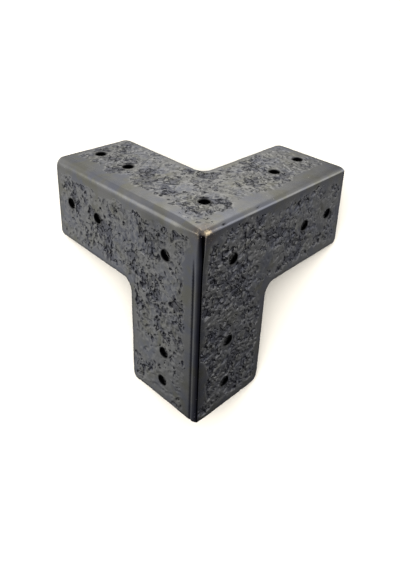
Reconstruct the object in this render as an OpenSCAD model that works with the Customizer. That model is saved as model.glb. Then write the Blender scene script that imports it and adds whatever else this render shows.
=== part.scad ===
// Three-way corner brace of hammered steel plate, for the outside of a timber corner.
// Three L-shaped plates stand square to each other: one on top and one on each side.
// Neighbouring plates share a rounded fold along an arm, and the three folds run into one round corner.
// Millimetres. The origin is the inner corner, where the three seating faces meet.
// One arm runs along +X, one along +Y, and the leg along -Z.

/* [Arms] */
// Length of an arm, from the outer corner to the arm's end
arm_length = 100; // [75:1:200]
// Width of an arm, from the outer face at its fold to its free edge
arm_width = 42.5; // [32:0.5:60]
// Thickness of the plates
plate_thickness = 3; // [2:0.5:6]

/* [Rounded edges] */
// Inside radius of the folds, and of the corner where they meet
fold_radius = 0.5; // [0.2:0.1:4]
// Radius in the crotch, where the two arms of a plate meet
crotch_radius = 6; // [2:0.5:12]
// Radius of the free corner at the end of each arm
end_radius = 3; // [1:0.5:8]

/* [Screw holes] */
// Diameter of a screw hole
hole_diameter = 5; // [3:0.1:8]
// Width of the broken edge round both mouths of a hole
hole_chamfer = 0.3; // [0.1:0.1:0.8]
// Distance from the end of an arm to the mark for its end hole
end_margin = 10; // [8:0.5:18]
// Distance between the marks for the two holes of an arm
hole_pitch = 21; // [12:0.5:26]
// Step in which the holes stray from their marks; 0 puts every hole on its mark
drift_step = 0.5; // [0:0.1:0.8]

/* [Hidden] */
$fn = 96;

// Outer radius of the folds and of the round corner
fold_outer_radius = fold_radius + plate_thickness;
// An arm's end, free edge and middle line, counted from the seating face beside it
arm_end = arm_length - plate_thickness;
free_edge = arm_width - plate_thickness;
arm_middle = arm_width / 2 - plate_thickness;
// Marks for the two holes of an arm, along the arm
end_mark = arm_end - end_margin;
inner_mark = end_mark - hole_pitch;
// How far a cutter or a filler runs past the face that it meets
overlap = 1;

// The five marks on a plate: corner, first arm inner and end, second arm inner and end
hole_marks = [
    [arm_middle, arm_middle],
    [inner_mark, arm_middle],
    [end_mark, arm_middle],
    [arm_middle, inner_mark],
    [arm_middle, end_mark]
];
// The holes are drilled by eye. Each lies this many steps off its mark, along the first and the second arm.
// Top plate: arms along +X and +Y
top_drift = [[-2, -4], [-1, -2], [1, 3], [-3, 1], [-3, 2]];
// Side plate that faces -X: arm along +Y, then the leg
left_drift = [[-1, -5], [-2, -2], [-2, -2], [1, 4], [3, -3]];
// Side plate that faces -Y: the leg, then the arm along +X
right_drift = [[-5, -5], [-15, -5], [-9, -6], [0, 0], [0, -4]];
hole_drift = drift_step * [top_drift, left_drift, right_drift];

// Turns a shape from the top plate's place to the left plate's at 1 and the right plate's at 2
module turned(turn) {
    rotate(120 * turn, [-1, -1, 1]) children();
}

// One arm of the flat plate, along +X, with its free corner rounded
module arm_outline() {
    difference() {
        translate([fold_radius, fold_radius])
            square([arm_end - fold_radius, free_edge - fold_radius]);
        translate([arm_end - end_radius, free_edge - end_radius])
            difference() {
                square(end_radius + overlap);
                circle(end_radius);
            }
    }
}

// Fills the inner corner between the two arms to a round crotch
module crotch_outline() {
    difference() {
        translate([free_edge - overlap, free_edge - overlap])
            square(crotch_radius + overlap);
        translate([free_edge + crotch_radius, free_edge + crotch_radius])
            circle(crotch_radius);
    }
}

// The flat L of a plate, between its folds and its free edges
module flat_plate() {
    linear_extrude(plate_thickness) {
        arm_outline();
        mirror([1, -1]) arm_outline();
        crotch_outline();
    }
}

// Section of a fold: a quarter of a ring as thick as the plate
module fold_section() {
    intersection() {
        difference() {
            circle(fold_outer_radius);
            circle(fold_radius);
        }
        square(fold_outer_radius);
    }
}

// The fold along the second arm of a plate
module fold() {
    translate([fold_radius, arm_end, -fold_radius])
        rotate([90, 0, 0])
            linear_extrude(arm_end - fold_radius)
                mirror([1, 0]) fold_section();
}

// The round corner: the section of a fold turned through a right angle
module round_corner() {
    translate([fold_radius, fold_radius, -fold_radius])
        rotate(180)
            rotate_extrude(angle = 90) fold_section();
}

// Cutter for one screw hole through a plate, with both mouths broken
module screw_hole() {
    mouth = hole_chamfer + overlap;
    translate([0, 0, -overlap])
        cylinder(d = hole_diameter, h = plate_thickness + 2 * overlap);
    translate([0, 0, plate_thickness - hole_chamfer])
        cylinder(d1 = hole_diameter, d2 = hole_diameter + 2 * mouth, h = mouth);
    translate([0, 0, -overlap])
        cylinder(d1 = hole_diameter + 2 * mouth, d2 = hole_diameter, h = mouth);
}

// The whole brace: plates, folds and corner as one piece, drilled
module corner_brace() {
    color([0.2, 0.2, 0.22])
        difference() {
            union() {
                for (turn = [0:2])
                    turned(turn) {
                        flat_plate();
                        fold();
                    }
                round_corner();
            }
            for (turn = [0:2], hole = [0:len(hole_marks) - 1])
                turned(turn)
                    translate(hole_marks[hole] + hole_drift[turn][hole])
                        screw_hole();
        }
}

corner_brace();
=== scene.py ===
import math

import bmesh
import bpy
import numpy as np
from mathutils import Matrix, Vector, kdtree, noise
from mathutils.geometry import delaunay_2d_cdt


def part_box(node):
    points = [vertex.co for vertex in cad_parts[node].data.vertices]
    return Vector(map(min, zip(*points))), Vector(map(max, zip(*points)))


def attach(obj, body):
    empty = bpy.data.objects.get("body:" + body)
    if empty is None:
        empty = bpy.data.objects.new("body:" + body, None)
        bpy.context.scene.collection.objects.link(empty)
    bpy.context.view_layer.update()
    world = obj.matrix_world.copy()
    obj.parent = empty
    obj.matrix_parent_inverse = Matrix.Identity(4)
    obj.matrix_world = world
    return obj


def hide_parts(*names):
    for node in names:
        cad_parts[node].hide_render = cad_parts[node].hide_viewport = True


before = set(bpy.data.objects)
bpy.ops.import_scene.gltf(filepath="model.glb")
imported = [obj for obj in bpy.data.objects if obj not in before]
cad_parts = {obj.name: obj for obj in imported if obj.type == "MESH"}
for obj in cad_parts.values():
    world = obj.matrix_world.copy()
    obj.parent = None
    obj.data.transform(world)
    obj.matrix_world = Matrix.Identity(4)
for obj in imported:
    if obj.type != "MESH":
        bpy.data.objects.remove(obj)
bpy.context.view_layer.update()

# Bent plate
# One blank of 3 mm steel, cut to three L-shaped plates and folded so that each stands square to the others.
# The folds share one outside radius and run together in a round corner. The cut edges are broken with a file.
MM = 0.001
high_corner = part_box("corner_brace")[1]
plate_thickness = high_corner.z
arm_end = high_corner.x
free_edge = 39.5 * MM
fold_inside = 0.5 * MM
fold_outside = fold_inside + plate_thickness
crotch_radius = 6 * MM
end_radius = 3 * MM
edge_round = 0.45 * MM
edge_waver = 0.14 * MM
waver_length = 7 * MM
edge_step = 0.8 * MM
fold_steps = 20
# Points closer together than this count as one place
hair = 0.01 * MM

# Plate coordinates run along the plate's first arm, along its second arm and out of its seating face.
# Plate 0 is the top one and is turned to plate 1 on the left and plate 2 on the right.
PLATES = range(3)
PLATE_TURN = np.array([[0, 0, -1], [1, 0, 0], [0, -1, 0]], float)


def to_brace(points, plate):
    """Plate coordinates to the brace's own."""
    return points @ np.linalg.matrix_power(PLATE_TURN.T, plate)


def to_plate(points, plate):
    """The brace's own coordinates to those of a plate."""
    return points @ np.linalg.matrix_power(PLATE_TURN, plate)


def straight(start, end, out):
    """Points of a straight cut up to, but not including, its end, and the direction out of the plate."""
    start, end = np.array(start), np.array(end)
    count = max(1, round(np.linalg.norm(end - start) / edge_step))
    points = start + (end - start) * np.arange(count)[:, None] / count
    return points, np.tile(np.array(out, float), (count, 1))


def curved(centre, radius, start, end, side):
    """The same for an arc between two angles. Side is 1 where the plate is inside the arc, or else -1."""
    count = max(1, round(abs(end - start) * radius / edge_step))
    angle = start + (end - start) * np.arange(count) / count
    away = np.stack([np.cos(angle), np.sin(angle)], 1)
    return np.array(centre) + radius * away, side * away


def free_path():
    """The free edge of a plate, from the fold at its first arm's end to the fold at its second arm's end."""
    corner = (arm_end - end_radius, free_edge - end_radius)
    crotch = (free_edge + crotch_radius, free_edge + crotch_radius)
    cuts = [
        straight((arm_end, fold_inside), (arm_end, corner[1]), (1, 0)),
        curved(corner, end_radius, 0, math.pi / 2, 1),
        straight((corner[0], free_edge), (crotch[0], free_edge), (0, 1)),
        curved(crotch, crotch_radius, -math.pi / 2, -math.pi * 3 / 4, -1),
    ]
    points = np.concatenate([cut[0] for cut in cuts])
    out = np.concatenate([cut[1] for cut in cuts])
    middle_out = np.full((1, 2), math.sqrt(0.5))
    middle = np.array([crotch]) - crotch_radius * middle_out
    return (
        np.concatenate([points, middle, points[::-1, ::-1]]),
        np.concatenate([out, middle_out, out[::-1, ::-1]]),
    )


def fold_arc(radius):
    """Points across a fold at the plate's inner corner, and their directions from the fold's axis."""
    angle = np.linspace(0, math.pi / 2, fold_steps + 1)
    away = np.stack([-np.sin(angle), np.zeros_like(angle), np.cos(angle)], 1)
    return np.array([fold_inside, 0, -fold_inside]) + radius * away, away


path, path_out = free_path()
path_count = len(path)
arc, arc_away = fold_arc(fold_outside)
# How far each plate's cuts lie outside their lines, in millimetres, in their order round the plate:
# the first arm's end at the fold and at the corner, its side at the corner and at the crotch,
# then the second arm's side at the crotch and at the corner, and its end at the corner and at the fold
off_line = np.array([
    (-0.6, 0.6, 0.25, -1.0, -0.8, 0.4, -0.2, 0.0),
    (0.0, 0.6, -1.1, 0.5, 1.9, 1.8, -0.2, -0.4),
    (-0.4, 0.5, 0.6, 0.95, 0.15, 0.1, 1.0, -0.8),
]) * MM
along_end = np.clip(path.min(1) / free_edge, 0, 1)
along_side = np.clip((path.max(1) - free_edge) / (arm_end - free_edge), 0, 1)
by_end = path.max(1) > arm_end - 1.01 * end_radius
on_first = path[:, 0] > path[:, 1]
end_share = np.where(on_first, path_out[:, 0], path_out[:, 1])
side_share = np.where(on_first, path_out[:, 1], path_out[:, 0])


def between(share, first, second):
    """A value that goes from the first to the second as the share goes from 0 to 1."""
    return first + (second - first) * share


edge_points, edge_normals, edge_out, edge_off = [], [], [], []
for plate in PLATES:
    end_1, corner_1, side_1, crotch_1, crotch_2, side_2, corner_2, end_2 = off_line[plate]
    first_side = between(along_side, crotch_1, side_1)
    second_side = between(along_side, crotch_2, side_2)
    side_off = np.where(on_first, first_side, second_side)
    first_end = between(along_end, end_1, corner_1)
    second_end = between(along_end, end_2, corner_2)
    end_off = np.where(on_first, first_end, second_end)
    end_off = np.where(by_end, end_off, np.where(on_first, crotch_2, crotch_1))
    edge_off.append(end_share * end_off + side_share * side_off)
    edge_off.append(np.linspace(end_2, off_line[(plate + 1) % 3][0], fold_steps + 1)[1:-1])
    flat = np.column_stack([path, np.full(path_count, plate_thickness)])
    flat_out = np.column_stack([path_out, np.zeros(path_count)])
    flat_up = np.tile((0.0, 0, 1), (path_count, 1))
    fold_end = arc[1:-1] + np.array([0, arm_end, 0])
    fold_out = np.tile((0.0, 1, 0), (fold_steps - 1, 1))
    edge_points.append(to_brace(np.concatenate([flat, fold_end]), plate))
    edge_normals.append(to_brace(np.concatenate([flat_up, arc_away[1:-1]]), plate))
    edge_out.append(to_brace(np.concatenate([flat_out, fold_out]), plate))
edge_points = np.concatenate(edge_points)
edge_normals = np.concatenate(edge_normals)
edge_out = np.concatenate(edge_out)
edge_count = len(edge_points)
waver = edge_waver * np.array([noise.noise(Vector(p) / waver_length) for p in edge_points])
waver += np.concatenate(edge_off)
# Nicks left by the shears and a corner that they have clipped: place, half-length and depth in millimetres
nicks = [((-3, 53, -39.5), 0.9, 0.45), ((28, -3, -97), 1.1, 0.5), ((38.6, -3, -96.1), 5.0, 0.8)]
for nick_place, nick_reach, nick_depth in nicks:
    off = np.linalg.norm(edge_points - np.array(nick_place) * MM, axis=1) / (nick_reach * MM)
    waver -= nick_depth * MM * np.clip(1 - off, 0, 1)

round_angles = np.radians([0, 30, 60, 90])
rounding = [(edge_round * (1 - math.sin(a)), edge_round * (1 - math.cos(a))) for a in round_angles]
rim_section = rounding + [(inset, plate_thickness - drop) for inset, drop in reversed(rounding)]
rim = [
    edge_points + edge_out * (waver - inset)[:, None] - edge_normals * drop
    for inset, drop in rim_section
]


def path_of(plate):
    """Where a plate's free edge lies in a loop of the rim."""
    first = plate * (edge_count // 3)
    return np.arange(first, first + path_count)


def cut_edge(plate):
    """A plate's free edge as it is cut, in plate coordinates on its outer face."""
    return to_plate(rim[0][path_of(plate)], plate)[:, :2]


def fold_end_of(plate):
    """Where the end of the fold on a plate's second arm lies in a loop of the rim."""
    first = plate * (edge_count // 3) + path_count - 1
    return np.arange(first, first + fold_steps + 1) % edge_count


# Screw holes
# Five holes in each plate, drilled by eye after folding, so each strays a little from its mark.
# Both mouths are broken with a countersink.
hole_radius = 2.5 * MM
mouth_radius = 2.8 * MM
mouth_depth = mouth_radius - hole_radius
hole_steps = 40
arm_middle = 18.25 * MM
end_mark = arm_end - 10 * MM
inner_mark = end_mark - 21 * MM
hole_marks = np.array([
    (arm_middle, arm_middle),
    (inner_mark, arm_middle),
    (end_mark, arm_middle),
    (arm_middle, inner_mark),
    (arm_middle, end_mark),
])
hole_drift = np.array([
    [(-1, -2), (-0.5, -1), (0.5, 1.5), (-1.5, 0.5), (-1.5, 1)],
    [(-0.5, -2.5), (-1, -1), (-1, -1), (0.5, 2), (1.5, -1.5)],
    [(-2.5, -2.5), (-7.5, -2.5), (-4.5, -3), (0, 0), (0, -2)],
]) * MM
hole_centres = hole_marks + hole_drift
hole_angles = np.arange(hole_steps) * 2 * math.pi / hole_steps
hole_round = np.stack([np.cos(hole_angles), np.sin(hole_angles)], 1)
# Where the drill has slipped before it bit: plate, place, half-length and half-width, and turn
slip_marks = [
    (0, hole_centres[0][0] + np.array([2.7, 2.9]) * MM, np.array([2.8, 1.1]) * MM, math.radians(-45)),
    (0, hole_centres[0][3] + np.array([3.3, 2.7]) * MM, np.array([2.9, 1.2]) * MM, math.radians(-45)),
    (2, hole_centres[2][4] + np.array([0.8, 3.6]) * MM, np.array([1.8, 0.8]) * MM, math.radians(20)),
]
wall_section = [
    (mouth_radius, plate_thickness),
    (hole_radius, plate_thickness - mouth_depth),
    (hole_radius, mouth_depth),
    (mouth_radius, 0),
]

# Surface of the plate
# The outer faces carry the hammer's work. The bands by the folds, the cut edges and the holes stay smooth.
# The seating side is left plain, so that it lies flat on the timber.
OUTER, SEAT = 0, 1
hammered_step = 0.5 * MM
fold_step = 1 * MM
seat_step = 4 * MM
# For each plate, how far in from its second arm's fold the hammer's work starts and where it is full,
# then the same from its first arm's fold
smooth_by_fold = np.array([
    [(1.5, 4.5), (1.5, 4.5)],
    [(3.5, 7.0), (0.5, 3.0)],
    [(1.0, 4.5), (0.5, 3.0)],
]) * MM
# How much wider those bands grow along the arms, and where
band_growth = np.array([(4.5, 4.5), (0.5, 0.5), (0.5, 0.5)]) * MM
growth_span = (8 * MM, 34 * MM)
smooth_by_edge = np.array([(1.0, 4.0), (1.0, 4.0), (1.5, 6.0)]) * MM
smooth_by_hole = (0.1 * MM, 0.6 * MM)
band_wander = 4.0 * MM
wander_length = 9 * MM
# Where the blows are lighter or heavier: plate, place along its arms, reach in millimetres, and their share
blow_places = [
    (0, (20, 20), 90, 0.84),
    (0, (88, 22), 24, 0.80),
    (1, (18, 29), 12, 0.65),
    (1, (20, 82), 36, 0.40),
    (1, (84, 30), 20, 0.70),
    (2, (70, 20), 44, 1.12),
    (2, (20, 20), 20, 1.20),
    (2, (34, 34), 16, 0.60),
    (2, (22, 88), 18, 0.75),
]
# Where such a place is full and where it ends, as shares of its reach
blow_fade = (0.35, 1.0)
# How far the points of a flat keep off its border, and the distance under which they are merged
clear_of_edge = 0.6 * edge_step
same_place = 1e-7
brace_points, brace_faces, brace_sides = [], [], []


def add_surface(points, faces, side):
    """Adds points and the faces between them to the brace."""
    first = sum(len(earlier) for earlier in brace_points)
    brace_points.append(points)
    brace_faces.extend([first + int(i) for i in face] for face in faces)
    brace_sides.extend([side] * len(faces))


def between_rows(rows, columns, closed=False):
    """Four-sided faces between rows of points. Closed joins each row's end to its start."""
    spans = range(columns if closed else columns - 1)
    return [
        (
            r * columns + c,
            r * columns + (c + 1) % columns,
            (r + 1) * columns + (c + 1) % columns,
            (r + 1) * columns + c,
        )
        for r in range(rows - 1)
        for c in spans
    ]


def rise(value, span):
    """0 below a span, 1 above it and a smooth rise between."""
    share = np.clip((value - span[0]) / (span[1] - span[0]), 0, 1)
    return share * share * (3 - 2 * share)


def nearest(points, targets):
    """Distance from each point to the nearest of the targets."""
    found = kdtree.KDTree(len(targets))
    missing = ((0, 0), (0, 3 - targets.shape[1]))
    for i, target in enumerate(np.pad(targets, missing).tolist()):
        found.insert(target, i)
    found.balance()
    return np.array([found.find(point)[2] for point in np.pad(points, missing).tolist()])


def hammer_share(flat, plate):
    """How much of the hammer's work reaches each point of a plate: none by folds, edges and holes."""
    beside_second, beside_first = smooth_by_fold[plate]
    inside = flat - rise(flat[:, ::-1], growth_span) * band_growth[plate]
    drawn = [noise.noise(Vector((*p, plate * arm_end)) / wander_length) for p in flat]
    wander = band_wander * np.array(drawn)
    by_fold = rise(inside[:, 0] + wander, beside_second) * rise(inside[:, 1] + wander, beside_first)
    by_edge = rise(nearest(flat, cut_edge(plate)) + wander / 2, smooth_by_edge[plate])
    by_hole = rise(nearest(flat, hole_centres[plate]) - mouth_radius, smooth_by_hole)
    share = by_fold * by_edge * by_hole
    for blow_plate, blow_place, blow_reach, blow_share in blow_places:
        if blow_plate == plate:
            off = np.linalg.norm(flat - np.array(blow_place) * MM, axis=1) / (blow_reach * MM)
            share *= between(rise(off, blow_fade), blow_share, 1)
    return share


def lattice(step):
    """Points of a three-way lattice over the plate's square, and which of them lie on one twice as wide."""
    row, column = np.meshgrid(np.arange(arm_end / (step * math.sqrt(0.75))), np.arange(arm_end / step))
    points = np.stack([(column + row % 2 / 2) * step, row * step * math.sqrt(0.75)], 2).reshape(-1, 2)
    wide = ((row % 4 == 0) & (column % 2 == 0)) | ((row % 4 == 2) & (column % 2 == 1))
    return points, wide.ravel()


def lay_flat(plate, height, rim_loop, fold_marks, inner, clear_of_fold, side):
    """Covers the flat of a plate with triangles at a height over its seating face."""
    border = np.concatenate([
        to_plate(rim_loop[path_of(plate)], plate)[:, :2],
        [(fold_inside, mark) for mark in fold_marks[::-1]],
        [(mark, fold_inside) for mark in fold_marks[1:]],
    ])
    rings = [centre + mouth_radius * hole_round for centre in hole_centres[plate]]
    loops = [border, *rings]
    fixed = np.concatenate(loops)
    firsts = np.cumsum([0] + [len(loop) for loop in loops])
    bounds = [
        (int(first) + i, int(first) + (i + 1) % len(loop))
        for first, loop in zip(firsts, loops)
        for i in range(len(loop))
    ]
    clear = nearest(inner, fixed) > clear_of_edge
    clear &= inner.min(1) > fold_inside + clear_of_fold
    clear &= nearest(inner, hole_centres[plate]) > mouth_radius
    points = [Vector(p) for p in np.concatenate([fixed, inner[clear]])]
    flat, _, faces, *_ = delaunay_2d_cdt(points, bounds, [], 1, same_place)
    flat = np.array([tuple(p) for p in flat])
    faces = np.array(faces)
    in_hole = nearest(flat, hole_centres[plate]) < mouth_radius + hair
    faces = faces[~in_hole[faces].all(1)]
    used, faces = np.unique(faces, return_inverse=True)
    laid = np.column_stack([flat[used], np.full(len(used), height)])
    add_surface(to_brace(laid, plate), faces.reshape(-1, 3), side)


def marks_along_fold(step):
    """Stations along a fold, from the round corner up to, but not including, the rim."""
    length = arm_end - edge_round - fold_inside
    count = round(length / step)
    return fold_inside + length * np.arange(count) / count


def lay_fold(plate, radius, rim_loop, fold_marks, side):
    """The fold on a plate's second arm, from the round corner to the rim."""
    across = fold_arc(radius)[0]
    rows = [to_brace(across + np.array([0, mark, 0]), plate) for mark in fold_marks]
    rows.append(rim_loop[fold_end_of(plate)])
    add_surface(np.concatenate(rows), between_rows(len(rows), fold_steps + 1), side)


def lay_corner(radius, side):
    """An eighth of a ball between the three folds, in rows that widen from the top plate down."""
    rows = []
    for row in range(fold_steps + 1):
        down = row / fold_steps * math.pi / 2
        round_it = np.arange(row + 1) / max(row, 1) * math.pi / 2
        away = np.stack([-math.sin(down) * np.cos(round_it), -math.sin(down) * np.sin(round_it)], 1)
        rows.append(np.column_stack([away, np.full(row + 1, math.cos(down))]))
    firsts = np.cumsum([0] + [len(row) for row in rows])
    faces = []
    for row in range(fold_steps):
        upper, lower = firsts[row], firsts[row + 1]
        faces += [(upper + i, lower + i, lower + i + 1) for i in range(row + 1)]
        faces += [(upper + i, lower + i + 1, upper + i + 1) for i in range(row)]
    centre = np.array([fold_inside, fold_inside, -fold_inside])
    add_surface(centre + radius * np.concatenate(rows), faces, side)


close_points, on_wide = lattice(hammered_step)
wide_points, _ = lattice(seat_step)
clear_of_outer_fold = 0.4 * MM
clear_of_seat_fold = seat_step / 3
outer_marks = marks_along_fold(fold_step)
seat_marks = marks_along_fold(seat_step)
for plate in PLATES:
    under_hammer = hammer_share(close_points, plate) > 0
    outer_points = close_points[under_hammer | on_wide]
    lay_flat(plate, plate_thickness, rim[0], outer_marks, outer_points, clear_of_outer_fold, OUTER)
    lay_flat(plate, 0, rim[-1], seat_marks, wide_points, clear_of_seat_fold, SEAT)
    lay_fold(plate, fold_outside, rim[0], outer_marks, OUTER)
    lay_fold(plate, fold_inside, rim[-1], seat_marks, SEAT)
    for centre in hole_centres[plate]:
        wall = np.concatenate([
            np.column_stack([centre + radius * hole_round, np.full(hole_steps, height)])
            for radius, height in wall_section
        ])
        add_surface(to_brace(wall, plate), between_rows(len(wall_section), hole_steps, closed=True), OUTER)
lay_corner(fold_outside, OUTER)
lay_corner(fold_inside, SEAT)
add_surface(np.concatenate(rim), between_rows(len(rim), edge_count, closed=True), OUTER)

shape = bmesh.new()
corners = [shape.verts.new(p) for p in np.concatenate(brace_points)]
for face, side in zip(brace_faces, brace_sides):
    new_face = shape.faces.new([corners[i] for i in face])
    new_face.material_index = side
    new_face.smooth = True
bmesh.ops.remove_doubles(shape, verts=shape.verts, dist=hair / 10)
bmesh.ops.recalc_face_normals(shape, faces=shape.faces)
plate_mesh = bpy.data.meshes.new("corner_brace_plate")
shape.to_mesh(plate_mesh)
shape.free()
brace = bpy.data.objects.new("hammered_brace", plate_mesh)
bpy.context.collection.objects.link(brace)


def point_values(mesh, name, values):
    """Keeps one number for each point of a mesh under a name."""
    mesh.attributes.new(name, "FLOAT", "POINT").data.foreach_set("value", np.asarray(values, np.float32))


# How far in the painted dark reflection by the free edges and the lighter line round the holes, partly rubbed
# and partly painted highlight, are full, and where they end
edge_line = (0.3 * MM, 1.3 * MM)
mouth_line = (0.3 * MM, 0.9 * MM)
# How much of the bore's painted shade is left on the broken edge of its mouth
mouth_shade = 0.75
# Dings in the fold between the top and the right plate: place and reach in millimetres
dings = [((9.7, -2.0, 2.0), 1.1), ((31.0, -1.6, 2.4), 0.8)]
# Where a slip mark and a ding are full and where they end, as shares of their reach
slip_fade = (0.55, 1.0)
ding_fade = (0.4, 1.0)
mesh_points = np.empty(len(plate_mesh.vertices) * 3)
plate_mesh.vertices.foreach_get("co", mesh_points)
mesh_points = mesh_points.reshape(-1, 3)
hammered = np.zeros(len(mesh_points))
bore = np.zeros(len(mesh_points))
edge = np.zeros(len(mesh_points))
mouth = np.zeros(len(mesh_points))
slip = np.zeros(len(mesh_points))
for plate in PLATES:
    local = to_plate(mesh_points, plate)
    on_face = (abs(local[:, 2] - plate_thickness) < hair) & (local[:, :2].min(1) > fold_inside)
    hammered[on_face] = hammer_share(local[on_face, :2], plate)
    edge[on_face] = 1 - rise(nearest(local[on_face, :2], cut_edge(plate)), edge_line)
    from_hole = nearest(local[:, :2], hole_centres[plate])
    # The bores, and in part their mouths, are marked for painted shade
    bore[(local[:, 2] > -hair) & (from_hole < mouth_radius + hair)] = mouth_shade
    bore[(local[:, 2] > -hair) & (from_hole < hole_radius + hair)] = 1
    mouth[on_face] = 1 - rise(from_hole[on_face] - mouth_radius, mouth_line)
# The rounded free edges take the painted dark reflection in full
edge[nearest(mesh_points, np.concatenate(rim[1:-1])) < hair] = 1
for plate, slip_place, slip_size, slip_turn in slip_marks:
    local = to_plate(mesh_points, plate)
    off = (local[:, :2] - slip_place) @ np.array([
        (math.cos(slip_turn), -math.sin(slip_turn)),
        (math.sin(slip_turn), math.cos(slip_turn)),
    ])
    struck = 1 - rise(np.linalg.norm(off / slip_size, axis=1), slip_fade)
    struck[local[:, 2] < plate_thickness - hair] = 0
    slip = np.maximum(slip, struck)
for ding_place, ding_reach in dings:
    off = np.linalg.norm(mesh_points - np.array(ding_place) * MM, axis=1) / (ding_reach * MM)
    slip = np.maximum(slip, 1 - rise(off, ding_fade))
point_values(plate_mesh, "hammered", hammered)
point_values(plate_mesh, "bore", bore)
point_values(plate_mesh, "edge", edge)
point_values(plate_mesh, "mouth", mouth)
point_values(plate_mesh, "slip", slip)
sides = np.empty(len(plate_mesh.polygons), np.int32)
plate_mesh.polygons.foreach_get("material_index", sides)
plate_mesh.attributes.new("seat_side", "BOOLEAN", "FACE").data.foreach_set("value", sides == SEAT)

# A point is on a fold where it stands out from two plates at once, and its smoother skin ends this far inside
fold_skin = 3 * MM
heights = np.stack([mesh_points[:, 2], -mesh_points[:, 0], -mesh_points[:, 1]], 1)
second_height = np.sort(heights, axis=1)[:, 1]
point_values(plate_mesh, "fold", rise(second_height, (-fold_inside - fold_skin, -fold_inside)))

# Dressed folds
# The folds are dressed with a flatter, so each rolls over slowly from one plate and meets the next tightly.
# The right plate bows in a little at the upright fold.
# Beside that fold, the folding bar has left a shallow line on the left plate.
fold_blend = (3 * MM, 16 * MM)
fold_relay = 11.5 * MM
# Reach of the rounding along X, Y and Z at the corner, and its change further along the X, Y and Z folds
corner_reach = np.array([2.6, 2.6, 1.8]) * MM
reach_change = np.array([(0.0, 0.9, -0.1), (1.2, 0.0, 3.2), (-1.0, 1.8, 0.0)]) * MM
crease_place = 3.9 * MM
crease_width = 0.42 * MM
crease_depth = 0.44 * MM
crease_start = (6 * MM, 24 * MM)
bow_reach = 12 * MM
bow_depth = 0.45 * MM
# Painted shade by the upright fold on the left plate and at a place near its corner, in millimetres along its
# arms
fold_shade_span = (5 * MM, 20 * MM)
shaded_place = (27, 9)
shaded_reach = (4 * MM, 16 * MM)
# How far in from the plate's outer face the crease, the bow and the painted shade reach
crease_side = 2 * MM
bow_side = (0, 4 * MM)
fold_shade_side = (1 * MM, 3 * MM)
inward = np.array([1, 1, -1])
gap = mesh_points * inward + plate_thickness
depth_in = fold_outside - np.linalg.norm(np.clip(fold_outside - gap, 0, None), axis=1)
outer_share = np.clip(1 - depth_in / plate_thickness, 0, 1)
reach = corner_reach + rise(gap, fold_blend) @ reach_change
in_fold = gap * reach / fold_outside
on_flat = reach + (gap - fold_outside) * (fold_relay - reach) / (fold_relay - fold_outside)
rolled = np.where(gap < fold_outside, in_fold, np.where(gap < fold_relay, on_flat, gap))
mesh_points += (rolled - gap) * outer_share[:, None] * inward
pressed = np.exp(-(((rolled[:, 1] - crease_place) / crease_width) ** 2)) * rise(rolled[:, 2], crease_start)
pressed[rolled[:, 0] > crease_side] = 0
bowed = bow_depth * np.clip(1 - rolled[:, 0] / bow_reach, 0, 1) ** 2 * rise(rolled[:, 2], crease_start)
bowed *= 1 - rise(rolled[:, 1], bow_side)
mesh_points[:, 0] += crease_depth * pressed * outer_share
mesh_points[:, 1] += bowed * outer_share
# Painted shade on the left plate by the upright fold and at a place near its corner
fold_shade = 1 - rise(rolled[:, 1], fold_shade_span)
from_shaded_place = np.linalg.norm(rolled[:, 1:] - np.array(shaded_place) * MM, axis=1)
fold_shade = np.maximum(fold_shade, 1 - rise(from_shaded_place, shaded_reach)) * (1 - rise(rolled[:, 0], fold_shade_side))
point_values(plate_mesh, "fold_shade", fold_shade)
plate_mesh.vertices.foreach_set("co", mesh_points.ravel())
plate_mesh.update()

# Hammering
# The outer faces are worked cold with a narrow cross-pein hammer, in several passes that overlap.
# Each blow leaves a small flat dent, deeper at one end, and where blows gather the skin is pitted and scored.


def add_node(tree, kind, inputs=(), **settings):
    """A node with its settings made and its inputs linked or set."""
    made = tree.nodes.new(kind)
    for name, value in settings.items():
        setattr(made, name, value)
    for name, value in dict(inputs).items():
        if isinstance(value, bpy.types.NodeSocket):
            tree.links.new(value, made.inputs[name])
        else:
            made.inputs[name].default_value = value
    return made


def calc(tree, operation, *values):
    """The result of a sum on numbers."""
    return add_node(tree, "ShaderNodeMath", enumerate(values), operation=operation).outputs[0]


def vector_calc(tree, operation, *values):
    """The result of a sum on vectors, which is a number for a dot product."""
    made = add_node(tree, "ShaderNodeVectorMath", enumerate(values), operation=operation)
    return made.outputs["Value" if operation in ("DOT_PRODUCT", "LENGTH", "DISTANCE") else "Vector"]


def scaled(tree, vector, factor):
    """A vector times a number."""
    return add_node(tree, "ShaderNodeVectorMath", {0: vector, "Scale": factor}, operation="SCALE").outputs[0]


def ramp(tree, value, low, high, to_low=0.0, to_high=1.0):
    """A smooth rise or fall of a number between two limits."""
    limits = {"Value": value, "From Min": low, "From Max": high, "To Min": to_low, "To Max": to_high}
    return add_node(tree, "ShaderNodeMapRange", limits, interpolation_type="SMOOTHSTEP").outputs["Result"]


def cloud(tree, vector, size, detail=2.0, output=0):
    """Soft noise with patches of about a given size. Output 1 gives three numbers in place of one."""
    values = {"Vector": vector, "Scale": 1 / size, "Detail": detail}
    return add_node(tree, "ShaderNodeTexNoise", values).outputs[output]


def new_tree(name, kind, inputs, outputs):
    """A node tree with named inputs and outputs, and its two end nodes."""
    tree = bpy.data.node_groups.new(name, kind)
    for label, socket in inputs.items():
        tree.interface.new_socket(label, in_out="INPUT", socket_type=socket)
    for label, socket in outputs.items():
        tree.interface.new_socket(label, in_out="OUTPUT", socket_type=socket)
    return tree, tree.nodes.new("NodeGroupInput"), tree.nodes.new("NodeGroupOutput")


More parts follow.
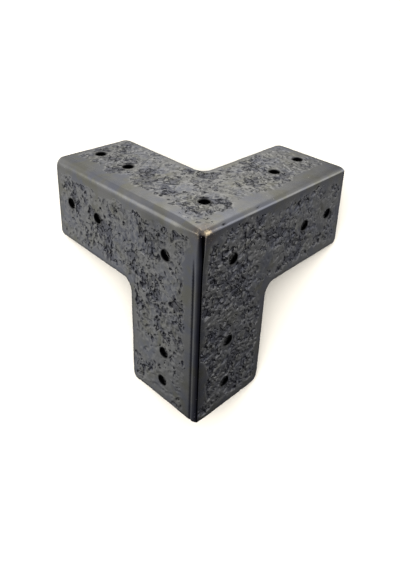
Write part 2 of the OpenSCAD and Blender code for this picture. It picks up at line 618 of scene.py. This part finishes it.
def kept_value(tree, name, kind="FLOAT"):
    """A value kept on the mesh under a name."""
    return add_node(tree, "GeometryNodeInputNamedAttribute", {"Name": name}, data_type=kind).outputs[0]


# Sizes of the pits, of the strokes, of the patches that show strokes, and of the places where all gather
pit_size = 3.4 * MM
stroke_size = 3.0 * MM
stroke_patch = 2.4 * MM
gather_size = 10 * MM
# How far their outlines are bent, and over what length
bend_reach = 3.0 * MM
bend_length = 3.6 * MM
# How strongly pits and strokes gather, and how much a lighter share of the hammer thins them
pit_gather = 0.8
stroke_gather = 0.9
share_pull = 0.2
# Levels of the noise between which a pit or a stroke comes in, and between which a pit's rim rises and falls
pit_span = (0.49, 0.64)
stroke_span = (0.47, 0.58)
rim_rise = (0.37, 0.45)
rim_fall = (0.46, 0.53)
# How far off its middle level a stroke is full and where it ends
stroke_width = (0.012, 0.070)


def pitting(tree, place, share):
    """Broad pits, the fine strokes that gather in them and the proud rims round them, each from 0 to 1."""
    fewer = calc(tree, "MULTIPLY", calc(tree, "SUBTRACT", share, 1.0), share_pull)
    anywhere = ramp(tree, share, 0.0, 0.3)
    bend = vector_calc(tree, "SUBTRACT", cloud(tree, place, bend_length, 2.0, 1), (0.5, 0.5, 0.5))
    bent = vector_calc(tree, "ADD", place, scaled(tree, bend, bend_reach))
    gather_place = vector_calc(tree, "ADD", place, (0.2, 0.4, 0.1))
    gather = calc(tree, "SUBTRACT", cloud(tree, gather_place, gather_size), 0.5)
    broad = calc(tree, "ADD", cloud(tree, bent, pit_size), calc(tree, "MULTIPLY", gather, pit_gather))
    broad = calc(tree, "ADD", broad, fewer)
    pit = ramp(tree, broad, *pit_span)
    proud = calc(tree, "MULTIPLY", ramp(tree, broad, *rim_rise), ramp(tree, broad, *rim_fall, 1.0, 0.0))
    line = cloud(tree, vector_calc(tree, "ADD", bent, (0.1, 0.3, 0.2)), stroke_size, 1.0)
    line = calc(tree, "ABSOLUTE", calc(tree, "SUBTRACT", line, 0.5))
    line = ramp(tree, line, *stroke_width, 1.0, 0.0)
    gate = cloud(tree, vector_calc(tree, "ADD", place, (0.3, 0.1, 0.2)), stroke_patch)
    gate = calc(tree, "ADD", gate, calc(tree, "MULTIPLY", gather, stroke_gather))
    gate = calc(tree, "ADD", gate, fewer)
    stroke = calc(tree, "MULTIPLY", line, ramp(tree, gate, *stroke_span))
    return [calc(tree, "MULTIPLY", part, anywhere) for part in (pit, stroke, proud)]


def hammer_pass():
    """Blows scattered over the hammered patches, and the depth that they leave at each point."""
    wanted = {"Plate": "NodeSocketGeometry"}
    wanted.update({size: "NodeSocketFloat" for size in ("Spacing", "Length", "Width", "Depth", "Bare")})
    wanted["Seed"] = "NodeSocketInt"
    tree, given, result = new_tree(
        "hammer_pass",
        "GeometryNodeTree",
        wanted,
        {"Depth": "NodeSocketFloat", "CrescentShade": "NodeSocketFloat", "Lip": "NodeSocketFloat"},
    )
    want = given.outputs
    place = add_node(tree, "GeometryNodeInputPosition").outputs[0]
    normal = add_node(tree, "GeometryNodeInputNormal").outputs[0]
    reached = kept_value(tree, "hammered")
    elsewhere = vector_calc(tree, "ADD", place, scaled(tree, (0.01, 0.02, 0.03), want["Seed"]))
    bare_ends = calc(tree, "ADD", want["Bare"], 0.1)
    patches = ramp(tree, cloud(tree, elsewhere, patch_size, 3.0), want["Bare"], bare_ends)
    spacing_square = calc(tree, "MULTIPLY", want["Spacing"], want["Spacing"])
    blows = add_node(tree, "GeometryNodeDistributePointsOnFaces", {
        "Mesh": want["Plate"],
        "Distance Min": want["Spacing"],
        "Density Max": calc(tree, "DIVIDE", crowding, spacing_square),
        "Density Factor": calc(tree, "MULTIPLY", reached, patches),
        "Seed": want["Seed"],
    }, distribute_method="POISSON").outputs["Points"]
    ragged = vector_calc(tree, "SUBTRACT", cloud(tree, place, ragged_length, 2.0, 1), (0.5, 0.5, 0.5))
    struck = vector_calc(tree, "ADD", place, scaled(tree, ragged, ragged_reach))
    search = {"Geometry": blows, "Sample Position": struck}
    which = add_node(tree, "GeometryNodeSampleNearest", search).outputs[0]

    def at_blow(value, kind):
        """A value of the blow that is nearest to each point."""
        asked = {"Geometry": blows, "Value": value, "Index": which}
        return add_node(tree, "GeometryNodeSampleIndex", asked, data_type=kind).outputs[0]

    def chance(low, high, seed):
        """A number drawn for each blow."""
        drawn = {2: low, 3: high, "Seed": calc(tree, "ADD", want["Seed"], seed)}
        number = add_node(tree, "FunctionNodeRandomValue", drawn, data_type="FLOAT").outputs[1]
        return at_blow(number, "FLOAT")

    centre = at_blow(add_node(tree, "GeometryNodeInputPosition").outputs[0], "FLOAT_VECTOR")
    across = vector_calc(tree, "NORMALIZE", vector_calc(tree, "CROSS_PRODUCT", normal, (1, 1, -1)))
    turned = add_node(tree, "ShaderNodeVectorRotate", {
        "Vector": vector_calc(tree, "SUBTRACT", struck, centre),
        "Axis": normal,
        "Angle": chance(0, 2 * math.pi, 1),
    }, rotation_type="AXIS_ANGLE").outputs[0]
    size = chance(*blow_sizes, 2)
    along = vector_calc(tree, "DOT_PRODUCT", turned, across)
    along = calc(tree, "DIVIDE", along, calc(tree, "MULTIPLY", want["Length"], size))
    aside = vector_calc(tree, "DOT_PRODUCT", turned, vector_calc(tree, "CROSS_PRODUCT", normal, across))
    aside = calc(tree, "DIVIDE", aside, calc(tree, "MULTIPLY", want["Width"], size))
    along_part = calc(tree, "POWER", calc(tree, "ABSOLUTE", along), squareness)
    aside_part = calc(tree, "POWER", calc(tree, "ABSOLUTE", aside), squareness)
    reach = calc(tree, "POWER", calc(tree, "ADD", along_part, aside_part), 1 / squareness)
    footprint = ramp(tree, reach, 0.74, 1.0, 1.0, 0.0)
    slope = ramp(tree, along, -1.1, 0.9, 0.1, 1.0)
    strength = chance(*blow_strengths, 3)
    force = calc(tree, "MULTIPLY", want["Depth"], strength)
    dented = calc(tree, "MULTIPLY", footprint, slope)
    tree.links.new(calc(tree, "MULTIPLY", force, dented), result.inputs["Depth"])
    # The crescent marks the deep wall of each blow, where painted shade goes
    wall = calc(tree, "MULTIPLY", ramp(tree, reach, 0.42, 0.7), ramp(tree, reach, 1.0, 1.2, 1.0, 0.0))
    deep_end = calc(tree, "MULTIPLY", ramp(tree, along, 0.25, 0.7), ramp(tree, strength, 0.40, 0.80))
    tree.links.new(calc(tree, "MULTIPLY", wall, deep_end), result.inputs["CrescentShade"])
    outside = calc(tree, "MULTIPLY", ramp(tree, reach, 1.1, 1.3), ramp(tree, reach, 1.45, 1.8, 1.0, 0.0))
    tree.links.new(calc(tree, "MULTIPLY", outside, deep_end), result.inputs["Lip"])
    return tree


patch_size = 13 * MM
# Smallest and largest size of a blow beside its pass's own, and the same for its strength
blow_sizes = (0.35, 0.65)
blow_strengths = (0.25, 1.0)
# How close the blows crowd for their spacing, and how square their outline is: 2 would make it round
crowding = 1.4
squareness = 3.0
# How far a blow's outline is torn, and over what length
ragged_reach = 0.9 * MM
ragged_length = 1.1 * MM
swell_length = 5 * MM
deepest = 0.46 * MM
lip_height = 0.05 * MM
pit_depth = 0.36 * MM
stroke_depth = 0.5 * pit_depth
# How much of the swell shows where the hammer hasn't worked
bare_swell = 0.3
# Spacing, length, width and depth of the blows, how much stays bare, and the seed of each pass
passes = [
    (3.4, 3.6, 5.0, 0.36, 0.38, 11),
    (2.5, 2.3, 3.7, 0.46, 0.43, 23),
    (1.9, 1.7, 2.8, 0.46, 0.46, 37),
    (1.4, 1.2, 1.9, 0.40, 0.49, 53),
]


def hammering():
    """All passes over the plate, the deepest blow winning, with a faint swell over all faces and folds."""
    tree, given, result = new_tree(
        "hammering",
        "GeometryNodeTree",
        {"Plate": "NodeSocketGeometry", "Force": "NodeSocketFloat", "Swell": "NodeSocketFloat"},
        {"Plate": "NodeSocketGeometry"},
    )
    tree.is_modifier = True
    plate_in = given.outputs["Plate"]
    one_pass = hammer_pass()
    depth, crescent_shade, lip = 0.0, 0.0, 0.0
    for spacing, length, width, deep, bare, seed in passes:
        blows = add_node(tree, "GeometryNodeGroup", {
            "Plate": plate_in,
            "Spacing": spacing * MM,
            "Length": length * MM,
            "Width": width * MM,
            "Depth": deep * MM,
            "Bare": bare,
            "Seed": seed,
        }, node_tree=one_pass)
        wins = calc(tree, "GREATER_THAN", blows.outputs["Depth"], depth)
        change = calc(tree, "SUBTRACT", blows.outputs["CrescentShade"], crescent_shade)
        crescent_shade = calc(tree, "ADD", crescent_shade, calc(tree, "MULTIPLY", wins, change))
        depth = calc(tree, "MAXIMUM", depth, blows.outputs["Depth"])
        lip = calc(tree, "MAXIMUM", lip, blows.outputs["Lip"])
    reached = kept_value(tree, "hammered")
    slipped = kept_value(tree, "slip")
    place = add_node(tree, "GeometryNodeInputPosition").outputs[0]
    pit, stroke, proud = pitting(tree, place, reached)
    scored = calc(tree, "MULTIPLY", stroke, stroke_depth)
    pitted = calc(tree, "ADD", calc(tree, "MULTIPLY", pit, pit_depth), scored)
    depth = calc(tree, "MAXIMUM", calc(tree, "MULTIPLY", depth, reached), pitted)
    depth = calc(tree, "MAXIMUM", depth, calc(tree, "MULTIPLY", slipped, deepest))
    depth = calc(tree, "MULTIPLY", depth, given.outputs["Force"])
    # Slip marks and dings take the crescents' painted shade
    crescent_shade = calc(tree, "MAXIMUM", calc(tree, "MULTIPLY", crescent_shade, reached), slipped)
    lip = calc(tree, "MULTIPLY", calc(tree, "MULTIPLY", lip, reached), calc(tree, "SUBTRACT", 1.0, crescent_shade))
    swell = calc(tree, "SUBTRACT", cloud(tree, place, swell_length), 0.5)
    swell = calc(tree, "MULTIPLY", swell, given.outputs["Swell"])
    swell_share = calc(tree, "ADD", bare_swell, calc(tree, "MULTIPLY", reached, 1 - bare_swell))
    swell = calc(tree, "MULTIPLY", swell, swell_share)
    lip = calc(tree, "MAXIMUM", lip, proud)
    raised = calc(tree, "ADD", swell, calc(tree, "MULTIPLY", lip, lip_height))
    normal = add_node(tree, "GeometryNodeInputNormal").outputs[0]
    kept = add_node(tree, "GeometryNodeStoreNamedAttribute", {
        "Geometry": plate_in, "Name": "dent", "Value": calc(tree, "DIVIDE", depth, deepest),
    }, data_type="FLOAT", domain="POINT").outputs[0]
    laid = add_node(tree, "GeometryNodeStoreNamedAttribute", {
        "Geometry": kept, "Name": "laid", "Value": place,
    }, data_type="FLOAT_VECTOR", domain="POINT").outputs[0]
    # Kept for the colour: the painted shade of the crescents, with the lips round the blows below zero
    marked = add_node(tree, "GeometryNodeStoreNamedAttribute", {
        "Geometry": laid, "Name": "crescent_shade", "Value": calc(tree, "SUBTRACT", crescent_shade, lip),
    }, data_type="FLOAT", domain="POINT").outputs[0]
    moved = add_node(tree, "GeometryNodeSetPosition", {
        "Geometry": marked, "Offset": scaled(tree, normal, calc(tree, "SUBTRACT", raised, depth)),
    }).outputs[0]
    whole = add_node(tree, "GeometryNodeRealizeInstances", {"Geometry": moved}).outputs[0]
    faced = add_node(tree, "GeometryNodeSetMaterial", {
        "Geometry": whole, "Material": blackened_face,
    }).outputs[0]
    seat = kept_value(tree, "seat_side", "BOOLEAN")
    seated = add_node(tree, "GeometryNodeSetMaterial", {
        "Geometry": faced, "Selection": seat, "Material": blackened_seat,
    }).outputs[0]
    tree.links.new(seated, result.inputs["Plate"])
    return tree


# Finish
# The steel is blackened in oil and waxed: satin grey where it stands proud and dark blue in the dents.
# Lips, proud rims and hole mouths are lighter, partly rubbed and partly painted highlight.
# Painted shade darkens the deep walls of the blows, the scored lines, the slip marks, the bores, the free
# edges and the left plate by the upright fold.
# The round corner is rubbed through to bare yellowish metal, and a little dust lies on the wax.
steel_grey = (0.232, 0.230, 0.222, 1)
cool_grey = (0.192, 0.198, 0.222, 1)
olive_grey = (0.212, 0.208, 0.176, 1)
recess_blue = (0.124, 0.126, 0.150, 1)
# Black for the painted shade of the crescents, scored lines, upright fold, slip marks and free edges
painted_shade_black = (0.012, 0.012, 0.017, 1)
# Lighter grey for lips, proud rims and hole mouths: partly rubbed metal, partly painted highlight
rubbed_and_sheen_grey = (0.330, 0.328, 0.318, 1)
bore_shade_black = (0.008, 0.008, 0.009, 1)
heat_brown = (0.120, 0.092, 0.072, 1)
bare_gold = (0.66, 0.54, 0.36, 1)
dust_grey = (0.72, 0.70, 0.66, 1)
# How much of its own colour each mark takes
dent_blue = 0.5
pit_blue = 0.45
lip_wear_and_sheen = 0.4
rim_wear_and_sheen = 0.4
mouth_wear_and_sheen = 0.7
crescent_shade_black = 0.4
stroke_shade_black = 0.82
fold_shade_black = 0.28
slip_shade_black = 0.9
edge_shade_black = 0.6
brown_share = 0.6
bare_share = 0.95
fleck_share = 0.45
# Dents, lips and the painted shade of the crescents by depth, from where their colour starts to where it is
# full
dent_levels = (0.05, 1.0)
lip_levels = (-0.1, -0.8)
crescent_shade_levels = (0.12, 0.75)
# Sizes of the tinted patches, and the levels of the noise between which they come in
cool_size = 11 * MM
olive_size = 8 * MM
cool_levels = (0.40, 0.62)
olive_levels = (0.48, 0.68)
# The fine and the broad tooth of the skin, and how high the fine one is beside the broad one
fine_tooth = 0.5 * MM
broad_tooth = 1.6 * MM
fine_height = 0.4
# The bare spot on the round corner: its middle, and how much a distance along X, Y and Z counts in it
bare_spot = Vector((0.2, -2.2, 1.9)) * MM
spot_scale = (0.5, 1, 1)
# Where the bare spot, the flecks beside it and the brown round it are full and where they end
bare_span = (1.7 * MM, 2.6 * MM)
fleck_span = (2.5 * MM, 6.5 * MM)
brown_span = (5 * MM, 13 * MM)
# How far the outlines of the bare spot and of the brown wander, and the sizes of their patches and flecks
bare_wander = 2.4 * MM
brown_wander = 8 * MM
bare_patch = 0.8 * MM
brown_patch = 3 * MM
fleck_size = 0.7 * MM
fleck_levels = (0.56, 0.66)
# The dust's spacing, the share of its places that hold a speck, and a speck's edge as shares of the spacing
dust_spacing = 2.6 * MM
dust_share = 0.12
speck_edge = (0.05, 0.11)
# Roughness of the waxed faces, what dents and dust add to it, and what the dressed folds take away
face_satin = 0.28
dent_matt = 0.06
dust_matt = 0.4
fold_shine = 0.12


def mix(tree, share, first, second):
    """A colour between two colours."""
    made = add_node(tree, "ShaderNodeMix", {0: share, 6: first, 7: second}, data_type="RGBA")
    return made.outputs[2]


def patina():
    """Patches of cool and olive tint over a grey."""
    tree, given, result = new_tree(
        "patina",
        "ShaderNodeTree",
        {
            "Vector": "NodeSocketVector",
            "Grey": "NodeSocketColor",
            "Cool": "NodeSocketColor",
            "Olive": "NodeSocketColor",
        },
        {"Color": "NodeSocketColor"},
    )
    want = given.outputs
    cool_patch = ramp(tree, cloud(tree, want["Vector"], cool_size, 4.0), *cool_levels)
    far = vector_calc(tree, "ADD", want["Vector"], (0.31, 0.17, 0.53))
    olive_patch = ramp(tree, cloud(tree, far, olive_size, 4.0), *olive_levels)
    cooled = mix(tree, cool_patch, want["Grey"], want["Cool"])
    tree.links.new(mix(tree, olive_patch, cooled, want["Olive"]), result.inputs["Color"])
    return tree


def dust():
    """A few pale specks."""
    tree, given, result = new_tree(
        "dust",
        "ShaderNodeTree",
        {"Vector": "NodeSocketVector", "Spacing": "NodeSocketFloat", "Share": "NodeSocketFloat"},
        {"Mask": "NodeSocketFloat"},
    )
    cells = add_node(tree, "ShaderNodeTexVoronoi", {
        "Vector": given.outputs["Vector"], "Scale": calc(tree, "DIVIDE", 1.0, given.outputs["Spacing"]),
    })
    speck = ramp(tree, cells.outputs["Distance"], *speck_edge, 1.0, 0.0)
    red = add_node(tree, "ShaderNodeSeparateColor", {0: cells.outputs["Color"]}).outputs[0]
    few = calc(tree, "LESS_THAN", red, given.outputs["Share"])
    tree.links.new(calc(tree, "MULTIPLY", speck, few), result.inputs["Mask"])
    return tree


def grain():
    """The fine tooth of the blackened skin, as a height."""
    tree, given, result = new_tree(
        "grain", "ShaderNodeTree", {"Vector": "NodeSocketVector"}, {"Height": "NodeSocketFloat"}
    )
    fine = cloud(tree, given.outputs["Vector"], fine_tooth, 3.0)
    broad = cloud(tree, given.outputs["Vector"], broad_tooth, 2.0)
    fine = calc(tree, "MULTIPLY", fine, fine_height)
    tree.links.new(calc(tree, "ADD", fine, broad), result.inputs["Height"])
    return tree


patina_group, dust_group, grain_group = patina(), dust(), grain()


def steel(name):
    """A material, its tree, its shader and the object's own coordinates."""
    material = bpy.data.materials.new(name)
    material.use_nodes = True
    tree = material.node_tree
    place = add_node(tree, "ShaderNodeTexCoord").outputs["Object"]
    return material, tree, tree.nodes["Principled BSDF"], place


def effect(tree, group, inputs):
    """The output of a shared effect, placed in a material with its own values."""
    return add_node(tree, "ShaderNodeGroup", inputs, node_tree=group).outputs[0]


def point_value(tree, name):
    """A number kept at the mesh's points."""
    return add_node(tree, "ShaderNodeAttribute", attribute_name=name).outputs["Fac"]


blackened_face, tree, shader, place = steel("blackened_face")
dent = point_value(tree, "dent")
fold = point_value(tree, "fold")
colour = effect(tree, patina_group, {
    "Vector": place, "Grey": steel_grey, "Cool": cool_grey, "Olive": olive_grey,
})
colour = mix(tree, ramp(tree, dent, *dent_levels, 0.0, dent_blue), colour, recess_blue)
crescent_shade = point_value(tree, "crescent_shade")
# Lips round the blows: lighter grey, partly rubbed and partly painted highlight
colour = mix(tree, ramp(tree, crescent_shade, *lip_levels, 0.0, lip_wear_and_sheen), colour, rubbed_and_sheen_grey)
laid = add_node(tree, "ShaderNodeAttribute", attribute_name="laid").outputs["Vector"]
pit, stroke, proud = pitting(tree, laid, point_value(tree, "hammered"))
# Proud rims and the rings round the holes: the same lighter grey, partly rubbed and partly painted highlight
rim_lightening = calc(tree, "MULTIPLY", proud, rim_wear_and_sheen)
mouth_lightening = calc(tree, "MULTIPLY", point_value(tree, "mouth"), mouth_wear_and_sheen)
colour = mix(tree, calc(tree, "MAXIMUM", rim_lightening, mouth_lightening), colour, rubbed_and_sheen_grey)
colour = mix(tree, calc(tree, "MULTIPLY", pit, pit_blue), colour, recess_blue)
# Painted shade on the deep walls of the blows and in the slip marks
colour = mix(tree, ramp(tree, crescent_shade, *crescent_shade_levels, 0.0, crescent_shade_black), colour, painted_shade_black)
# Painted shade, with some dark oxide, in the scored lines
colour = mix(tree, calc(tree, "MULTIPLY", stroke, stroke_shade_black), colour, painted_shade_black)
# Painted shade by the upright fold on the left plate
colour = mix(tree, calc(tree, "MULTIPLY", point_value(tree, "fold_shade"), fold_shade_black), colour, painted_shade_black)
# Painted shade in the slip marks and the dings
colour = mix(tree, calc(tree, "MULTIPLY", point_value(tree, "slip"), slip_shade_black), colour, painted_shade_black)
from_spot = vector_calc(tree, "SUBTRACT", place, bare_spot)
from_corner = vector_calc(tree, "LENGTH", from_spot)
browned = calc(tree, "MULTIPLY", cloud(tree, place, brown_patch, 3.0), brown_wander)
browned = calc(tree, "ADD", from_corner, browned)
colour = mix(tree, ramp(tree, browned, *brown_span, brown_share, 0.0), colour, heat_brown)
along_fold = vector_calc(tree, "LENGTH", vector_calc(tree, "MULTIPLY", from_spot, spot_scale))
rubbed = calc(tree, "MULTIPLY", cloud(tree, place, bare_patch, 3.0), bare_wander)
rubbed = calc(tree, "ADD", along_fold, rubbed)
colour = mix(tree, ramp(tree, rubbed, *bare_span, bare_share, 0.0), colour, bare_gold)
flecks = ramp(tree, cloud(tree, place, fleck_size, 3.0), *fleck_levels)
flecks = calc(tree, "MULTIPLY", flecks, ramp(tree, from_corner, *fleck_span, fleck_share, 0.0))
colour = mix(tree, flecks, colour, bare_gold)
# Painted shade inside the bores and on part of their mouths
colour = mix(tree, point_value(tree, "bore"), colour, bore_shade_black)
# Painted dark reflection along the free edges
colour = mix(tree, calc(tree, "MULTIPLY", point_value(tree, "edge"), edge_shade_black), colour, painted_shade_black)
specks = effect(tree, dust_group, {"Vector": place, "Spacing": dust_spacing, "Share": dust_share})
colour = mix(tree, specks, colour, dust_grey)
tree.links.new(colour, shader.inputs["Base Color"])
shader.inputs["Metallic"].default_value = 1
satin = calc(tree, "ADD", face_satin, calc(tree, "MULTIPLY", ramp(tree, dent, 0.0, 0.6), dent_matt))
satin = calc(tree, "SUBTRACT", satin, calc(tree, "MULTIPLY", fold, fold_shine))
satin = calc(tree, "ADD", satin, calc(tree, "MULTIPLY", specks, dust_matt))
tree.links.new(satin, shader.inputs["Roughness"])
tooth = effect(tree, grain_group, {"Vector": place})
sunk = calc(tree, "ADD", calc(tree, "MULTIPLY", pit, 0.4), stroke)
sunk = add_node(tree, "ShaderNodeBump", {"Height": sunk, "Strength": 0.8, "Distance": 0.25 * MM}, invert=True)
bump = add_node(tree, "ShaderNodeBump", {
    "Height": tooth, "Strength": 0.25, "Distance": 0.08 * MM, "Normal": sunk.outputs[0],
})
tree.links.new(bump.outputs[0], shader.inputs["Normal"])

blackened_seat, tree, shader, place = steel("blackened_seat")
colour = effect(tree, patina_group, {
    "Vector": place, "Grey": cool_grey, "Cool": recess_blue, "Olive": olive_grey,
})
tree.links.new(colour, shader.inputs["Base Color"])
shader.inputs["Metallic"].default_value = 1
shader.inputs["Roughness"].default_value = 0.45
tooth = effect(tree, grain_group, {"Vector": place})
bump = add_node(tree, "ShaderNodeBump", {"Height": tooth, "Strength": 0.3, "Distance": 0.1 * MM})
tree.links.new(bump.outputs[0], shader.inputs["Normal"])

hammer_tree = hammering()
hammer_work = brace.modifiers.new("hammering", "NODES")
hammer_work.node_group = hammer_tree
for name, value in {"Force": 1.0, "Swell": 0.3 * MM}.items():
    hammer_work[hammer_tree.interface.items_tree[name].identifier] = value
hammered_mesh = bpy.data.meshes.new_from_object(brace.evaluated_get(bpy.context.evaluated_depsgraph_get()))
brace.modifiers.clear()
brace.data = hammered_mesh
bpy.data.meshes.remove(plate_mesh)

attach(brace, "root")
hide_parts("corner_brace")

# Floor, light and camera
# A pale sweep lies under the ends of the three arms, and a soft white room stands round it.
# The room is a little dark on the side that the brace is seen from, and dim low on the right.
floor_reach = 2.0
floor_gap = 0.3 * MM
floor_cream = (0.93, 0.88, 0.79, 1)
shade_black = (0.004, 0.004, 0.004, 1)
# How far off a plate can stand and still shade the floor deep under the brace
shade_reach = 120 * MM
# Open sky, as a share of all, at which that shade is full and at which it ends
shade_span = (0.06, 0.30)
shade_rays = 8
floor_up = Vector((-1, -1, 1)).normalized()
floor_foot = floor_up * -(arm_end + free_edge + floor_gap) / math.sqrt(3)
floor_side = floor_up.orthogonal().normalized()
floor_back = floor_up.cross(floor_side)
floor_mesh = bpy.data.meshes.new("floor")
floor_ways = ((-1, -1), (1, -1), (1, 1), (-1, 1))
floor_corners = [floor_foot + (floor_side * a + floor_back * b) * floor_reach for a, b in floor_ways]
floor_mesh.from_pydata(floor_corners, [], [(0, 1, 2, 3)])
floor = bpy.data.objects.new("floor", floor_mesh)
bpy.context.collection.objects.link(floor)
pale_floor = bpy.data.materials.new("pale_floor")
pale_floor.use_nodes = True
tree = pale_floor.node_tree
tree.nodes.clear()
open_sky = add_node(tree, "ShaderNodeAmbientOcclusion", {"Distance": shade_reach}, samples=shade_rays)
colour = mix(tree, ramp(tree, open_sky.outputs["AO"], *shade_span), shade_black, floor_cream)
matt = add_node(tree, "ShaderNodeBsdfDiffuse", {"Color": colour}).outputs[0]
see_through = add_node(tree, "ShaderNodeBsdfTransparent").outputs[0]
behind = add_node(tree, "ShaderNodeNewGeometry").outputs["Backfacing"]
one_way = add_node(tree, "ShaderNodeMixShader", {0: behind, 1: matt, 2: see_through}).outputs[0]
add_node(tree, "ShaderNodeOutputMaterial", {"Surface": one_way})
floor_mesh.materials.append(pale_floor)
floor.visible_glossy = False
floor.visible_diffuse = False
floor.visible_shadow = False

ground_back = (1.62, 1.60, 1.56, 1)
room_above = (0.78, 0.78, 0.80, 1)
horizon = (-0.20, 0.05)
# Direction, half-angles in degrees where a patch of the ground is full and where it ends, and its light
ground_patches = [
    ((-0.66, 0.59, -0.46), 20, 75, (0.84, 0.85, 0.86, 1)),
    ((-0.45, 0.84, -0.30), 5, 32, (0.62, 0.62, 0.62, 1)),
    ((0.66, -0.59, -0.46), 10, 60, (0.266, 0.266, 0.276, 1)),
    ((0.35, -0.60, -0.72), 8, 35, (0.19, 0.19, 0.20, 1)),
    ((0.0, 0.0, -1.0), 25, 60, (0.05, 0.05, 0.055, 1)),
    ((0.58, 0.58, -0.58), 20, 45, (0.50, 0.50, 0.50, 1)),
    ((0.10, 0.73, 0.68), 2, 27, (0.72, 0.72, 0.72, 1)),
    ((0.744, 0.124, 0.657), 4, 25, (0.78, 0.78, 0.78, 1)),
    ((0.40, 0.90, 0.20), 6, 30, (0.45, 0.45, 0.45, 1)),
    ((0.92, 0.33, 0.20), 6, 30, (0.25, 0.25, 0.25, 1)),
]
# The same for the room above the ground: a lamp on the left, a pale wall on the right, and the dark side
room_patches = [
    ((-0.76, 0.59, 0.25), 4, 18, (1.75, 1.75, 1.75, 1)),
    ((0.70, -0.48, 0.50), 8, 24, (1.50, 1.50, 1.52, 1)),
    ((-0.66, -0.59, 0.46), 35, 75, (0.30, 0.30, 0.34, 1)),
    ((-0.72, -0.51, -0.46), 20, 70, (0.05, 0.05, 0.07, 1)),
    ((-0.40, -0.76, -0.52), 22, 36, (0.005, 0.005, 0.007, 1)),
]


def with_patches(tree, look, light, patches):
    """Light with soft round patches of other light laid over it, each in its own direction."""
    for direction, full, ends, colour in patches:
        facing = vector_calc(tree, "DOT_PRODUCT", look, Vector(direction).normalized())
        share = ramp(tree, facing, math.cos(math.radians(ends)), math.cos(math.radians(full)))
        light = mix(tree, share, light, colour)
    return light


room = bpy.data.worlds.new("white_room")
room.use_nodes = True
tree = room.node_tree
look = add_node(tree, "ShaderNodeTexCoord").outputs["Generated"]
ground = with_patches(tree, look, ground_back, ground_patches)
above = ramp(tree, vector_calc(tree, "DOT_PRODUCT", look, floor_up), *horizon)
light = with_patches(tree, look, mix(tree, above, ground, room_above), room_patches)
seen = add_node(tree, "ShaderNodeLightPath").outputs["Is Camera Ray"]
tree.links.new(mix(tree, seen, light, (1, 1, 1, 1)), tree.nodes["Background"].inputs["Color"])
room.cycles_visibility.diffuse = False
bpy.context.scene.world = room

camera_place = Vector((-129.89, -125.52, 102.18)) * MM
camera_forward = Vector((0.6602, 0.5940, -0.4596)).normalized()
camera_up = Vector((0.3053, 0.3468, 0.8868))
camera_right = camera_forward.cross(camera_up).normalized()
camera_up = camera_right.cross(camera_forward)
camera = bpy.data.objects.new("camera", bpy.data.cameras.new("camera"))
camera.data.lens = 34.385
camera.data.sensor_width = 36
camera.data.shift_x = -0.0356
camera.data.shift_y = -0.1207
camera.data.clip_start = 0.005
camera.matrix_world = Matrix.Translation(camera_place) @ Matrix(
    (camera_right, camera_up, -camera_forward)
).transposed().to_4x4()
bpy.context.collection.objects.link(camera)
bpy.context.scene.camera = camera
bpy.context.scene.view_settings.view_transform = "Standard"

# The key light stands this far off, and leans this much to the left and to the back
key_reach = 1.0
key_left = 0.20
key_back = 0.20
key_way = (floor_up - camera_right * key_left + camera_up * key_back).normalized()
key = bpy.data.objects.new("key", bpy.data.lights.new("key", "AREA"))
key.data.shape = "DISK"
key.data.size = 2.0
key.data.energy = 36
key.location = key_way * key_reach
key.rotation_mode = "QUATERNION"
key.rotation_quaternion = (-key_way).to_track_quat("-Z", "Y")
key.visible_glossy = False
bpy.context.collection.objects.link(key)
